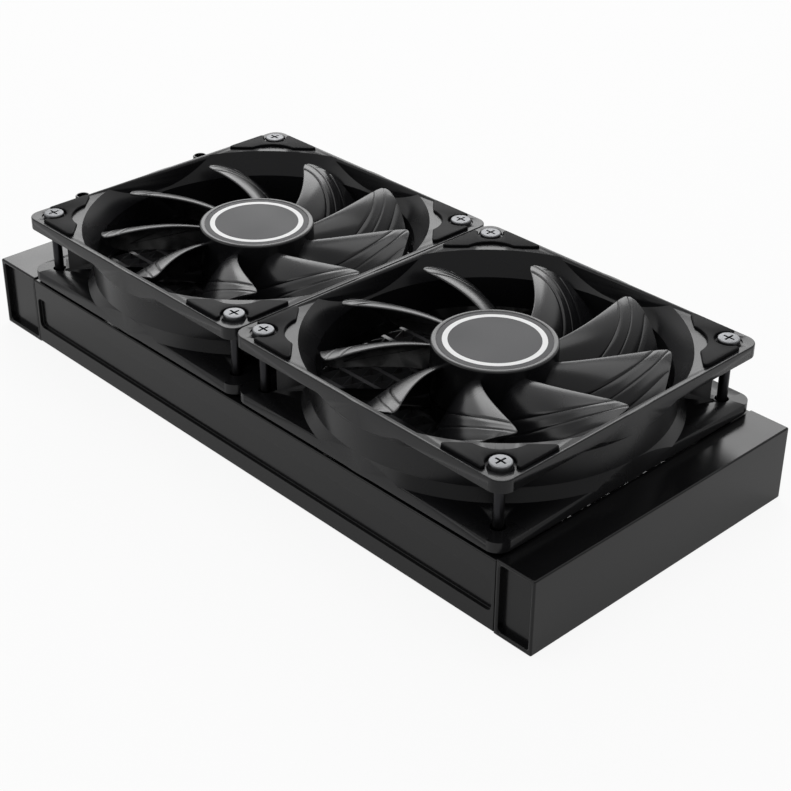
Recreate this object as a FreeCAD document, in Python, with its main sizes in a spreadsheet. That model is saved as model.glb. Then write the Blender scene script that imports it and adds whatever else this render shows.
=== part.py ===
"""Radiator and twin fans of a closed loop liquid cooler, in millimetres.

The cooler stands on the flat undersides of its two tanks, +Z up. X runs along
the radiator, from the deep tank with the hose spigots at -X to the shallow
tank at +X. The origin is the middle of the underside.
"""
import FreeCAD, Part
import Sketcher
import math
import os
import re
from FreeCAD import Placement, Rotation, Vector

os.makedirs("parts", exist_ok=True)
doc = FreeCAD.newDocument("liquid_cooler")
sheet = doc.addObject("Spreadsheet::Sheet", "Sizes")

SIZES = [
    # radiator
    ("fan_margin", 0.1),
    ("radiator_height", 27.0),
    ("fan_overhang", 0.85),
    ("inlet_length", 22.6),
    ("outlet_length", 15.1),
    ("tank_wall", 1.5),
    ("tank_edge", 0.6),
    ("tank_corner", 1.2),
    ("cap_inset", 3.4),
    ("cap_thickness", 1.5),
    ("divider_thickness", 1.5),
    ("tube_count", 13),
    ("core_side", 7.5),
    ("tube_thickness", 1.6),
    ("tube_wall", 0.35),
    ("tube_reach", 1.5),
    ("core_margin", 2.4),
    ("fin_pitch", 11.9),
    ("fin_sheet", 0.5),
    ("fin_play", 0.02),
    # side channels
    ("channel_drop", 0.6),
    ("channel_rise", 0.4),
    ("channel_wall", 1.4),
    ("channel_flange", 11.5),
    ("recess_depth", 2.0),
    ("recess_base", 7.1),
    ("recess_top", 7.7),
    ("recess_margin", 1.2),
    ("recess_corner", 2.0),
    ("case_hole_radius", 1.42),
    # hose spigots
    ("spigot_radius", 2.85),
    ("spigot_wall", 0.65),
    ("spigot_height", 20.4),
    ("spigot_offset", 28.2),
    ("collar_width", 2.15),
    ("collar_height", 2.2),
    ("spigot_root", 1.0),
    ("spigot_chamfer", 0.3),
    # fan frame
    ("fan_size", 119.8),
    ("fan_gap", 0.2),
    ("fan_lift", 0.5),
    ("fan_depth", 25.1),
    ("fan_corner", 5.0),
    ("top_flange", 4.3),
    ("low_flange", 3.8),
    ("flange_edge", 0.4),
    ("hole_margin", 7.4),
    ("hole_play", 0.65),
    ("seat_play", 0.9),
    ("seat_depth", 0.6),
    ("duct_wall", 2.3),
    ("bulge_height", 3.7),
    ("bulge_spread", 2.6),
    ("mouth_flare", 5.4),
    ("mouth_depth", 8.1),
    ("mouth_wall", 1.8),
    ("outlet_spread", 3.0),
    ("outlet_depth", 5.5),
    ("rib_thickness", 2.0),
    ("rib_stop", 3.85),
    ("notch_inset", 12.4),
    ("notch_width", 2.8),
    ("notch_depth", 1.6),
    ("strut_width", 4.9),
    ("strut_height", 3.4),
    # corner pads
    ("pad_rise", 1.0),
    ("pad_round", 0.35),
    ("pad_edge", 1.5),
    ("pad_span", 27.9),
    ("pad_knee", 20.1),
    ("pad_width", 8.9),
    ("pad_hollow", 12.2),
    ("pad_corner", 1.0),
    ("pad_clear", 0.1),
    ("pad_end", 1.9),
    # screws
    ("screw_radius", 1.75),
    ("screw_play", 0.02),
    ("head_radius", 3.6),
    ("head_rise", 1.4),
    ("screw_bite", 1.5),
    # impeller
    ("hub_radius", 20.8),
    ("hub_drop", 0.9),
    ("hub_wall", 1.5),
    ("hub_roof", 1.9),
    ("hub_edge", 0.6),
    ("hub_lift", 5.5),
    ("boss_wall", 1.5),
    ("boss_drop", 2.8),
    ("label_margin", 1.9),
    ("label_play", 0.05),
    ("label_depth", 0.25),
    ("label_thickness", 0.15),
    ("blade_count", 9),
    ("tip_gap", 1.5),
    ("tip_angle", 1.5),
    ("blade_sweep", 19.5),
    ("sweep_power", 1.5),
    ("root_chord", 30.0),
    ("tip_chord", 28.0),
    ("tip_drop", 1.4),
    ("root_drop", 4.6),
    ("trail_lift", 5.2),
    ("trail_rise", 0.5),
    ("blade_camber", 0.95),
    ("blade_thickness", 1.5),
    ("blade_edge", 0.7),
    # motor
    ("base_lip", 0.2),
    ("base_thickness", 1.8),
    ("rim_gap", 0.6),
    ("rim_wall", 1.4),
    ("stem_wall", 1.5),
    ("bearing_wall", 2.0),
    ("boss_gap", 0.7),
    ("shaft_radius", 1.5),
    ("shaft_play", 0.05),
    ("shaft_foot", 0.6),
    ("yoke_wall", 0.9),
    ("magnet_thickness", 2.2),
    ("magnet_drop", 2.6),
    ("board_play", 1.6),
    ("board_thickness", 1.2),
    ("coil_gap", 1.8),
    ("stator_height", 8.0),
    ("ring_wall", 2.0),
    ("air_gap", 0.7),
    ("pole_thickness", 2.2),
    ("pole_gap", 4.0),
    ("arm_width", 4.0),
    ("coil_wrap", 1.2),
    ("coil_inset", 0.5),
]

# sizes that follow from the driving ones, each written once as an expression
DERIVED = {
    "radiator_width": "fan_size + 2 * fan_margin",
    "core_length": "4 * fan_step - 2 * fan_overhang",
    "tube_pitch": "(radiator_width - 2 * core_side) / (tube_count - 1)",
    "recess_height": "radiator_height - recess_base - recess_top",
    "spigot_bore": "spigot_radius - spigot_wall",
    "collar_radius": "spigot_radius + collar_width",
    "total_length": "inlet_length + core_length + outlet_length",
    "core_start": "inlet_length - total_length / 2",
    "core_end": "core_start + core_length",
    "core_middle": "core_start + core_length / 2",
    "tube_height": "radiator_height - 2 * core_margin",
    "channel_top": "radiator_height - channel_drop",
    "channel_height": "channel_top - channel_rise",
    "hole_half": "fan_half - hole_margin",
    "hole_radius": "screw_radius + hole_play",
    "seat_radius": "head_radius + seat_play",
    "fan_base": "radiator_height + fan_lift",
    "fan_top": "fan_base + fan_depth",
    "fan_half": "fan_size / 2",
    "fan_step": "(fan_size + fan_gap) / 2",
    "throat_radius": "fan_half - duct_wall",
    "duct_radius": "fan_half",
    "mouth_radius": "throat_radius + mouth_flare",
    "mouth_half": "fan_half - mouth_wall",
    "rib_reach": "hole_half * sqrt(2) - rib_stop",
    "notch_offset": "fan_half - notch_inset",
    "hub_top": "fan_top - hub_drop",
    "hub_base": "fan_base + hub_lift",
    "hub_inner": "hub_radius - hub_wall",
    "yoke_top": "hub_top - hub_roof",
    "floor_top": "fan_base + base_thickness",
    "boss_radius": "shaft_radius + boss_wall",
    "label_radius": "hub_radius - label_margin",
    "base_radius": "hub_radius + base_lip",
    "rim_height": "hub_lift - base_thickness - rim_gap",
    "stem_bore": "shaft_radius + bearing_wall",
    "stem_radius": "stem_bore + stem_wall",
    "stem_height": "yoke_top - boss_drop - boss_gap - floor_top",
    "board_radius": "base_radius - rim_wall - board_play",
    "magnet_height": "yoke_top - hub_base - magnet_drop - 3 * yoke_wall",
    "stator_base": "floor_top + board_thickness + coil_gap + coil_wrap",
    "stator_ring": "stem_radius + ring_wall",
    "stator_radius": "hub_inner - yoke_wall - magnet_thickness - air_gap",
    "tip_radius": "throat_radius - tip_gap",
}

for row, (alias, value) in enumerate(SIZES, start=1):
    sheet.set("A%d" % row, alias)
    sheet.set("B%d" % row, str(value))
    sheet.setAlias("B%d" % row, alias)
doc.recompute()

ALIASES = [alias for alias, value in SIZES]
WORD = re.compile(r"[a-z]+(?:_[a-z]+)+")


def expand(text):
    """Turn an expression of plain size names into one that reads the sheet."""
    def swap(match):
        word = match.group(0)
        if word in DERIVED:
            return "(" + expand(DERIVED[word]) + ")"
        if word in ALIASES:
            return "Sizes." + word
        raise KeyError(word)
    return WORD.sub(swap, str(text))


def size(text):
    """Value of an expression of size names."""
    return float(sheet.evalExpression(expand(text)))


def bind(obj, **sizes):
    """Bind an object's properties to expressions of size names."""
    for name, text in sizes.items():
        obj.setExpression(name, expand(text))


def place(obj, x, y, z, turn=0.0):
    """Place an object at a point given by expressions, turned about Z."""
    obj.Placement = Placement(Vector(), Rotation(Vector(0, 0, 1), turn))
    for axis, text in zip("xyz", (x, y, z)):
        obj.setExpression("Placement.Base." + axis, expand(text))
    return obj


def box(name, sides, corner, turn=0.0):
    """Box with its three sides and its low corner given by expressions."""
    obj = doc.addObject("Part::Box", name)
    bind(obj, Length=sides[0], Width=sides[1], Height=sides[2])
    return place(obj, *corner, turn=turn)


def round_bar(name, radius, height, base):
    """Upright cylinder whose base centre is given by expressions."""
    obj = doc.addObject("Part::Cylinder", name)
    bind(obj, Radius=radius, Height=height)
    return place(obj, *base)


def cone(name, low_radius, high_radius, height, base):
    """Upright cone frustum whose base centre is given by expressions."""
    obj = doc.addObject("Part::Cone", name)
    bind(obj, Radius1=low_radius, Radius2=high_radius, Height=height)
    return place(obj, *base)


def fuse(name, pieces):
    """Union of several objects."""
    obj = doc.addObject("Part::MultiFuse", name)
    obj.Shapes = pieces
    return obj


def cut(name, base, tools):
    """Base with one or more tools cut away."""
    obj = doc.addObject("Part::Cut", name)
    obj.Base = base
    obj.Tool = tools[0] if len(tools) == 1 else fuse(name + "_tools", tools)
    return obj


def common(name, first, second):
    """Shared volume of two objects."""
    obj = doc.addObject("Part::MultiCommon", name)
    obj.Shapes = [first, second]
    return obj


def rounded(name, base, radius, wanted):
    """Fillet the edges of an object for which wanted(edge) is true."""
    doc.recompute()
    amount = size(radius)
    obj = doc.addObject("Part::Fillet", name)
    obj.Base = base
    obj.Edges = [(number, amount, amount)
                 for number, edge in enumerate(base.Shape.Edges, start=1) if wanted(edge)]
    return obj


def along(direction):
    """Test for straight edges that run along a direction."""
    def wanted(edge):
        if edge.Curve.TypeId != "Part::GeomLine":
            return False
        return abs(edge.Curve.Direction.dot(direction)) > 0.999
    return wanted


def group(name, pieces):
    """Several separate solids that share one node."""
    obj = doc.addObject("Part::Compound", name)
    obj.Links = pieces
    return obj


def shape_feature(name, shape, x="0", y="0", z="0", turn=0.0):
    """Feature with a shape worked out from the sheet, placed and turned afterwards."""
    obj = doc.addObject("Part::Feature", name)
    obj.Shape = shape
    return place(obj, x, y, z, turn)


def plane_of(body, role):
    """One of a body's own origin planes."""
    return next(item for item in body.Origin.OriginFeatures if item.Role == role)


def profile(body, name, role, points):
    """Closed polygon sketch whose corners are bound to expressions."""
    sketch = body.newObject("Sketcher::SketchObject", name)
    sketch.AttachmentSupport = [(plane_of(body, role), "")]
    sketch.MapMode = "FlatFace"
    spots = [Vector(size(across), size(up), 0) for across, up in points]
    count = len(spots)
    for number, spot in enumerate(spots):
        sketch.addGeometry(Part.LineSegment(spot, spots[(number + 1) % count]), False)
    for number, (across, up) in enumerate(points):
        sketch.addConstraint(Sketcher.Constraint(
            "Coincident", number, 2, (number + 1) % count, 1))
        for kind, text in (("DistanceX", across), ("DistanceY", up)):
            index = sketch.addConstraint(Sketcher.Constraint(
                kind, -1, 1, number, 1, size(text)))
            sketch.setExpression("Constraints[%d]" % index, expand(text))
    return sketch


def turned(name, points, x="0", y="0", z="0"):
    """Body turned about Z from (radius, height) corners of its half section."""
    body = doc.addObject("PartDesign::Body", name)
    place(body, x, y, z)
    sketch = profile(body, name + "_section", "XZ_Plane", points)
    sweep = body.newObject("PartDesign::Revolution", name + "_turned")
    sweep.Profile = sketch
    sweep.ReferenceAxis = (sketch, ["V_Axis"])
    sweep.Angle = 360
    doc.recompute()
    return body


nodes = {}


def keep(name, obj):
    """Name a finished sub-part; its label names its file."""
    obj.Label = name
    nodes[name] = obj


def tank(name, start, length, slot_side):
    """Square tube along Y with a rounded ring at each end and slots for the tubes."""
    outer = rounded(name + "_skin", box(
        name + "_block", (length, "radiator_width", "radiator_height"),
        (start, "-radiator_width / 2", "0")), "tank_edge", lambda edge: True)
    hollow = rounded(name + "_hollow", box(
        name + "_space",
        (length + " - 2 * tank_wall", "radiator_width + 2", "radiator_height - 2 * tank_wall"),
        (start + " + tank_wall", "-radiator_width / 2 - 1", "tank_wall")),
        "tank_corner", along(Vector(0, 1, 0)))
    tools = [hollow]
    for number in range(int(size("tube_count"))):
        middle = "(%d - (tube_count - 1) / 2) * tube_pitch" % number
        tools.append(box(
            "%s_slot_%d" % (name, number), ("tank_wall + 0.4", "tube_thickness", "tube_height"),
            (slot_side, middle + " - tube_thickness / 2", "core_margin")))
    return outer, tools


def end_caps(tank_name, start, length):
    """Flat panels that close the two ends of a tank, set back from its rim."""
    sides = (("front", "-radiator_width / 2 + cap_inset"),
             ("rear", "radiator_width / 2 - cap_inset - cap_thickness"))
    for side, across in sides:
        name = "%s_%s_cap" % (tank_name, side)
        plate = box(name + "_plate", (
            length + " - 2 * tank_wall", "cap_thickness", "radiator_height - 2 * tank_wall"),
            (start + " + tank_wall", across, "tank_wall"))
        keep(name, rounded(name, plate, "tank_corner", along(Vector(0, 1, 0))))


def hole_places():
    """Places of the eight fan holes, as x and y expressions."""
    return [("core_middle %s fan_step %s hole_half" % (fan, way), "%s hole_half" % side)
            for fan in "-+" for way in "-+" for side in "-+"]


def make_radiator():
    """Tanks, caps, divider, flat tubes, fins, side channels and spigots."""
    far_end = "core_start - inlet_length"
    outer, tools = tank("inlet_tank", far_end, "inlet_length", "core_start - tank_wall - 0.2")
    spigot_x = "core_start - inlet_length / 2"
    for side in "-+":
        tools.append(round_bar(
            "spigot_hole" + ("_front" if side == "-" else "_rear"), "spigot_radius",
            "tank_wall + 0.4",
            (spigot_x, side + " spigot_offset", "radiator_height - tank_wall - 0.2")))
    keep("inlet_tank", cut("inlet_tank", outer, tools))
    outer, tools = tank("outlet_tank", "core_end", "outlet_length", "core_end - 0.2")
    keep("outlet_tank", cut("outlet_tank", outer, tools))
    end_caps("inlet_tank", far_end, "inlet_length")
    end_caps("outlet_tank", "core_end", "outlet_length")
    plate = box("flow_divider_plate", (
        "inlet_length - 2 * tank_wall", "divider_thickness",
        "radiator_height - 2 * tank_wall"),
        (far_end + " + tank_wall", "tube_pitch / 2 - divider_thickness / 2", "tank_wall"))
    keep("flow_divider", rounded(
        "flow_divider", plate, "tank_corner", along(Vector(0, 1, 0))))
    make_core()
    make_channels()
    for side, across in (("front", "-spigot_offset"), ("rear", "spigot_offset")):
        keep(side + "_hose_spigot", turned(side + "_hose_spigot", [
            ("spigot_bore", "-tank_wall - spigot_root"),
            ("spigot_radius", "-tank_wall - spigot_root"),
            ("spigot_radius", "0"),
            ("collar_radius", "0"),
            ("collar_radius", "collar_height"),
            ("spigot_radius", "collar_height"),
            ("spigot_radius", "spigot_height - spigot_chamfer"),
            ("spigot_radius - spigot_chamfer", "spigot_height"),
            ("spigot_bore", "spigot_height"),
        ], spigot_x, across, "radiator_height"))


def make_core():
    """Flat tubes from tank to tank with a folded fin strip between each two."""
    tubes = []
    count = int(size("tube_count"))
    reach = "tank_wall + tube_reach"
    for number in range(count):
        middle = "(%d - (tube_count - 1) / 2) * tube_pitch" % number
        bar = box("tube_%d_bar" % number, (
            "core_length + 2 * (%s)" % reach, "tube_thickness", "tube_height"),
            ("core_start - (%s)" % reach, middle + " - tube_thickness / 2", "core_margin"))
        bore = box("tube_%d_bore" % number, (
            "core_length + 2 * (%s) + 1" % reach, "tube_thickness - 2 * tube_wall",
            "tube_height - 2 * tube_wall"),
            ("core_start - (%s) - 0.5" % reach,
             middle + " - tube_thickness / 2 + tube_wall", "core_margin + tube_wall"))
        tubes.append(cut("tube_%d" % number, bar, [bore]))
    keep("flat_tubes", group("flat_tubes", tubes))
    strips = []
    strip = fin_strip()
    for number in range(count - 1):
        middle = "(%d - (tube_count - 2) / 2) * tube_pitch" % number
        strips.append(shape_feature(
            "fin_strip_%d" % number, strip, "core_start", middle, "core_margin"))
    keep("cooling_fins", group("cooling_fins", strips))


def fin_strip():
    """One strip of thin sheet folded to and fro between two tubes."""
    length = size("core_length - 2 * fin_play")
    folds = 2 * max(1, round(length / size("fin_pitch")))
    step = length / folds
    half = size("(tube_pitch - tube_thickness) / 2 - fin_play")
    lean = math.hypot(step, 2 * half) / step
    sheet_half = size("fin_sheet") / 2 * lean
    crest = half - sheet_half
    path = [(size("fin_play") + number * step, crest if number % 2 else -crest)
            for number in range(folds + 1)]
    outline = [Vector(x, y + sheet_half, 0) for x, y in path]
    outline += [Vector(x, y - sheet_half, 0) for x, y in reversed(path)]
    face = Part.Face(Part.makePolygon(outline + outline[:1]))
    return face.extrude(Vector(0, 0, size("tube_height")))


def make_channels():
    """Side channels with a long pressed panel and the fan and case screw holes."""
    for side, sign in (("front", "-"), ("rear", "+")):
        name = "side_channel_" + side
        front = sign == "-"

        def span(depth, thickness):
            """Low y of a layer that starts at a depth under the outer face."""
            if front:
                return "-radiator_width / 2 + (%s)" % depth
            return "radiator_width / 2 - (%s) - (%s)" % (depth, thickness)

        block = box(name + "_block", ("core_length", "channel_flange", "channel_height"),
                    ("core_start", span("0", "channel_flange"), "channel_rise"))
        skin = rounded(name + "_skin", block, "tank_edge", lambda edge: (
            along(Vector(1, 0, 0))(edge)
            and abs(edge.CenterOfMass.y) > size("radiator_width / 2 - 0.01")))
        hollow = box(name + "_hollow", (
            "core_length + 2", "channel_flange", "channel_height - 2 * channel_wall"),
            ("core_start - 1", span("channel_wall", "channel_flange"),
             "channel_rise + channel_wall"))
        shell = cut(name + "_shell", skin, [hollow])
        panel = box(name + "_panel", (
            "core_length", "recess_depth + 0.2", "recess_height + 2 * channel_wall"),
            ("core_start", span("channel_wall - 0.2", "recess_depth + 0.2"),
             "recess_base - channel_wall"))
        recess = rounded(name + "_recess", box(name + "_recess_block", (
            "core_length - 2 * recess_margin", "recess_depth + 1", "recess_height"),
            ("core_start + recess_margin", span("-1", "recess_depth + 1"), "recess_base")),
            "recess_corner", along(Vector(0, 1, 0)))
        tools = [recess]
        for number, (x, y) in enumerate(hole_places()):
            if y.startswith(sign):
                tools.append(round_bar(
                    "%s_fan_hole_%d" % (name, number), "screw_radius + screw_play",
                    "2 * channel_wall", (x, y, "channel_top - 1.5 * channel_wall")))
                tools.append(round_bar(
                    "%s_case_hole_%d" % (name, number), "case_hole_radius",
                    "2 * channel_wall", (x, y, "channel_rise - channel_wall / 2")))
        keep(name, cut(name, fuse(name + "_pressing", [shell, panel]), tools))


def square_plate(name, height, x, z, rim):
    """Square flange of a fan frame with round corners and a softened rim."""
    plate = box(name + "_plate", ("fan_size", "fan_size", height),
                (x + " - fan_half", "-fan_half", z))
    cornered = rounded(name + "_cornered", plate, "fan_corner", along(Vector(0, 0, 1)))
    level = size(rim)
    return rounded(name, cornered, "flange_edge", lambda edge: (
        abs(edge.BoundBox.ZMin - level) < 0.01 and abs(edge.BoundBox.ZMax - level) < 0.01))


def spokes(name, width, start, reach, height, x, z):
    """Four bars from one radius to another, towards the corners of the frame."""
    bars = []
    for turn in (45, 135, 225, 315):
        along_x = "cos(%d)" % turn
        along_y = "sin(%d)" % turn
        low_x = "%s + (%s) * %s + (%s) / 2 * %s" % (x, start, along_x, width, along_y)
        low_y = "(%s) * %s - (%s) / 2 * %s" % (start, along_y, width, along_x)
        bars.append(box("%s_%d" % (name, turn), ("(%s) - (%s)" % (reach, start), width, height),
                        (low_x, low_y, z), turn))
    return bars


def make_frame(fan, x):
    """Moulded fan frame: flanges, duct, corner ribs, struts, motor floor and stem."""
    name = fan + "_fan_frame"
    flanges = [square_plate(name + "_low", "low_flange", x, "fan_base", "fan_base"),
               square_plate(name + "_top", "top_flange", x, "fan_top - top_flange", "fan_top")]
    wall = "duct_radius + bulge_spread"
    body = fuse(name + "_tube", [
        round_bar(name + "_barrel", "duct_radius", "fan_depth", (x, "0", "fan_base")),
        cone(name + "_low_bulge", wall, "duct_radius", "bulge_height",
             (x, "0", "fan_base + low_flange")),
        cone(name + "_top_bulge", "duct_radius", wall, "bulge_height",
             (x, "0", "fan_top - top_flange - bulge_height"))])
    clip = box(name + "_clip", ("fan_size", "fan_size", "fan_depth"),
               (x + " - fan_half", "-fan_half", "fan_base"))
    duct = common(name + "_duct", body, clip)
    ribs = spokes(name + "_rib", "rib_thickness", "duct_radius - 1", "rib_reach",
                  "fan_depth - low_flange - top_flange", x, "fan_base + low_flange")
    shell = fuse(name + "_shell", flanges + [duct] + ribs)

    throat = round_bar(name + "_throat", "throat_radius", "fan_depth + 2",
                       (x, "0", "fan_base - 1"))
    mouth = cone(name + "_mouth_cone", "throat_radius", "mouth_radius", "mouth_depth",
                 (x, "0", "fan_top - mouth_depth"))
    outlet = cone(name + "_outlet_cone", "throat_radius + outlet_spread", "throat_radius",
                  "outlet_depth", (x, "0", "fan_base"))
    window = box(name + "_window", ("2 * mouth_half", "2 * mouth_half", "fan_depth"),
                 (x + " - mouth_half", "-mouth_half", "fan_base"))
    tools = [throat, common(name + "_mouth", mouth, window),
             common(name + "_outlet", outlet, window)]
    for along_x in "-+":
        for along_y in "-+":
            spot = ("%s %s hole_half" % (x, along_x), "%s hole_half" % along_y)
            tag = "%s_%d" % (name, len(tools))
            tools.append(round_bar(tag + "_hole", "hole_radius", "fan_depth + 2",
                                   spot + ("fan_base - 1",)))
            tools.append(round_bar(tag + "_seat", "seat_radius", "seat_depth + 1",
                                   spot + ("fan_top - seat_depth",)))
    tools.append(box(name + "_notch", ("notch_depth + 1", "notch_width", "fan_depth + 2"),
                     (x + " - fan_half - 1", "-notch_offset - notch_width / 2",
                      "fan_base - 1")))
    opened = cut(name + "_opened", shell, tools)

    floor = round_bar(name + "_floor", "base_radius", "base_thickness", (x, "0", "fan_base"))
    rim = cut(name + "_rim", round_bar(name + "_rim_outer", "base_radius", "rim_height",
                                       (x, "0", "floor_top")),
              [round_bar(name + "_rim_inner", "base_radius - rim_wall", "rim_height + 1",
                         (x, "0", "floor_top"))])
    stem = cut(name + "_stem", round_bar(name + "_stem_outer", "stem_radius", "stem_height",
                                         (x, "0", "floor_top")),
               [round_bar(name + "_stem_inner", "stem_bore", "stem_height + 1",
                          (x, "0", "floor_top"))])
    struts = spokes(name + "_strut", "strut_width", "base_radius - 1",
                    "throat_radius + outlet_spread + 1",
                    "strut_height", x, "fan_base")
    keep(name, fuse(name, [opened, floor, rim, stem] + struts))


def pad_outline():
    """Boomerang outline of a corner pad, in the +X +Y corner of the fan."""
    edge = size("fan_half - pad_edge")
    tip, waist = size("fan_half - pad_span"), size("fan_half - pad_knee")
    shoulder, hollow = size("fan_half - pad_width"), size("fan_half - pad_hollow")
    ends = [Vector(tip, edge, 0), Vector(waist, shoulder, 0),
            Vector(shoulder, waist, 0), Vector(edge, tip, 0)]
    return Part.Wire([
        Part.LineSegment(ends[0], ends[1]).toShape(),
        Part.Arc(ends[1], Vector(hollow, hollow, 0), ends[2]).toShape(),
        Part.LineSegment(ends[2], ends[3]).toShape(),
        Part.LineSegment(ends[3], Vector(edge, edge, 0)).toShape(),
        Part.LineSegment(Vector(edge, edge, 0), ends[0]).toShape(),
    ])


def pad_shape(thickness, rounding):
    """One corner pad with room for the screw, rounded ends and a rounded upper edge."""
    blank = Part.Face(pad_outline()).extrude(Vector(0, 0, thickness))
    hole, span = size("hole_half"), size("pad_span")
    corner = hole - size("pad_end")
    room = Part.makeCylinder(size("seat_radius + pad_clear"), thickness, Vector(hole, hole, 0))
    square = Part.makeBox(span, span, thickness, Vector(corner, corner, 0))
    blank = blank.cut([room, square])
    far = size("fan_half - pad_edge") - 0.01
    tips = [edge for edge in blank.Edges
            if along(Vector(0, 0, 1))(edge) and max(edge.CenterOfMass.x, edge.CenterOfMass.y) > far]
    pad = blank.makeFillet(size("pad_corner"), tips)
    if rounding > 0:
        rim = [edge for edge in pad.Edges if edge.BoundBox.ZMin > thickness - 0.01]
        pad = pad.makeFillet(rounding, rim)
    return pad


def make_pads(fan, x):
    """Rubber corner pads on both faces of a fan."""
    layers = (("top", "fan_top", size("pad_rise"), size("pad_round")),
              ("low", "channel_top", size("fan_base - channel_top"), 0))
    for level, z, thickness, rounding in layers:
        shape = pad_shape(thickness, rounding)
        pads = [shape_feature("%s_%s_pad_%d" % (fan, level, turn), shape, x, "0", z, turn)
                for turn in (0, 90, 180, 270)]
        keep("%s_fan_%s_pads" % (fan, level), group("%s_fan_%s_pads" % (fan, level), pads))


def make_screws(fan, x):
    """Four screws that hold a fan to the side channels."""
    screws = []
    for along_x in "-+":
        for along_y in "-+":
            screws.append(turned("%s_screw_%d" % (fan, len(screws)), [
                ("0", "seat_depth + head_rise"),
                ("0", "-(fan_depth - seat_depth + fan_lift + channel_drop + screw_bite)"),
                ("screw_radius", "-(fan_depth - seat_depth + fan_lift + channel_drop"
                                 " + screw_bite)"),
                ("screw_radius", "0"),
                ("head_radius", "0"),
                ("head_radius", "seat_depth + head_rise"),
            ], "%s %s hole_half" % (x, along_x), "%s hole_half" % along_y,
                "fan_top - seat_depth"))
    keep(fan + "_fan_screws", group(fan + "_fan_screws", screws))


def blade_point(radius, share, side):
    """Point of a blade face: share 0 at the leading edge, 1 at the trailing edge."""
    inner, outer = size("hub_radius"), size("tip_radius")
    span = (radius - inner) / (outer - inner)
    chord = size("root_chord") + (size("tip_chord") - size("root_chord")) * span
    lead = size("tip_angle") - size("blade_sweep") * max(1 - span, 0.0) ** size("sweep_power")
    camber = size("blade_camber")
    fall = share * (1 - camber) + camber * share * share
    lead_z = size("fan_top - root_drop") + size("root_drop - tip_drop") * span
    trail_z = size("fan_base + trail_lift") + size("trail_rise") * span
    bulk = size("blade_thickness - blade_edge") * 4 * share * (1 - share)
    half = side * (size("blade_edge") + bulk) / 2
    slope = (trail_z - lead_z) * (1 - camber + 2 * camber * share)
    arc = radius * math.radians(chord)
    tilt = math.hypot(slope, arc)
    angle = math.radians(lead - chord * share) + half * slope / tilt / radius
    height = lead_z + (trail_z - lead_z) * fall + half * arc / tilt
    return Vector(radius * math.cos(angle), radius * math.sin(angle), height)


def blade_shape():
    """One blade: two ruled faces from hub wall to tip, closed by four thin strips."""
    curves = {}
    for side in (1, -1):
        for radius in (size("hub_radius - hub_wall / 2"), size("tip_radius")):
            line = Part.BSplineCurve()
            line.interpolate([blade_point(radius, step / 4, side) for step in range(5)])
            curves[side, len(curves) % 2] = line.toShape()
    faces = [Part.makeRuledSurface(curves[side, 0], curves[side, 1]) for side in (1, -1)]
    faces += [Part.makeRuledSurface(curves[1, end], curves[-1, end]) for end in (0, 1)]
    for last in (False, True):
        edges = []
        for side in (1, -1):
            ends = []
            for end in (0, 1):
                edge = curves[side, end]
                ends.append(edge.valueAt(edge.LastParameter if last else edge.FirstParameter))
            edges.append(Part.LineSegment(*ends).toShape())
        faces.append(Part.makeRuledSurface(*edges))
    shell = Part.makeShell(faces)
    shell.sewShape(0.001)
    solid = Part.makeSolid(Part.Shell(shell.Faces))
    if solid.Volume < 0:
        solid.reverse()
    return solid


def make_rotor(fan, x, blade):
    """Impeller, label, steel yoke, magnet ring and shaft of one fan."""
    hub = turned(fan + "_hub", [
        ("boss_radius", "yoke_top"),
        ("hub_inner", "yoke_top"),
        ("hub_inner", "hub_base"),
        ("hub_radius", "hub_base"),
        ("hub_radius", "hub_top - hub_edge"),
        ("hub_radius - hub_edge", "hub_top"),
        ("label_radius", "hub_top"),
        ("label_radius", "hub_top - label_depth"),
        ("0", "hub_top - label_depth"),
        ("0", "yoke_top"),
        ("shaft_radius", "yoke_top"),
        ("shaft_radius", "yoke_top - boss_drop"),
        ("boss_radius", "yoke_top - boss_drop"),
    ], x)
    step = 360.0 / size("blade_count")
    blades = [shape_feature("%s_blade_%d" % (fan, number), blade, x, turn=number * step)
              for number in range(int(size("blade_count")))]
    impeller = fuse(fan + "_impeller", [hub] + blades)
    impeller.Refine = False
    keep(fan + "_impeller", impeller)
    keep(fan + "_hub_label", round_bar(fan + "_hub_label", "label_radius - label_play",
                                       "label_thickness", (x, "0", "hub_top - label_depth")))
    keep(fan + "_rotor_yoke", turned(fan + "_rotor_yoke", [
        ("boss_radius", "yoke_top"),
        ("boss_radius", "yoke_top - yoke_wall"),
        ("hub_inner - yoke_wall", "yoke_top - yoke_wall"),
        ("hub_inner - yoke_wall", "hub_base + yoke_wall"),
        ("hub_inner", "hub_base + yoke_wall"),
        ("hub_inner", "yoke_top"),
    ], x))
    magnet = "hub_inner - yoke_wall"
    keep(fan + "_magnet_ring", turned(fan + "_magnet_ring", [
        (magnet + " - magnet_thickness", "hub_base + 2 * yoke_wall"),
        (magnet, "hub_base + 2 * yoke_wall"),
        (magnet, "hub_base + 2 * yoke_wall + magnet_height"),
        (magnet + " - magnet_thickness", "hub_base + 2 * yoke_wall + magnet_height"),
    ], x))
    keep(fan + "_shaft", round_bar(
        fan + "_shaft", "shaft_radius", "yoke_top - floor_top - shaft_foot",
        (x, "0", "floor_top + shaft_foot")))


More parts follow.
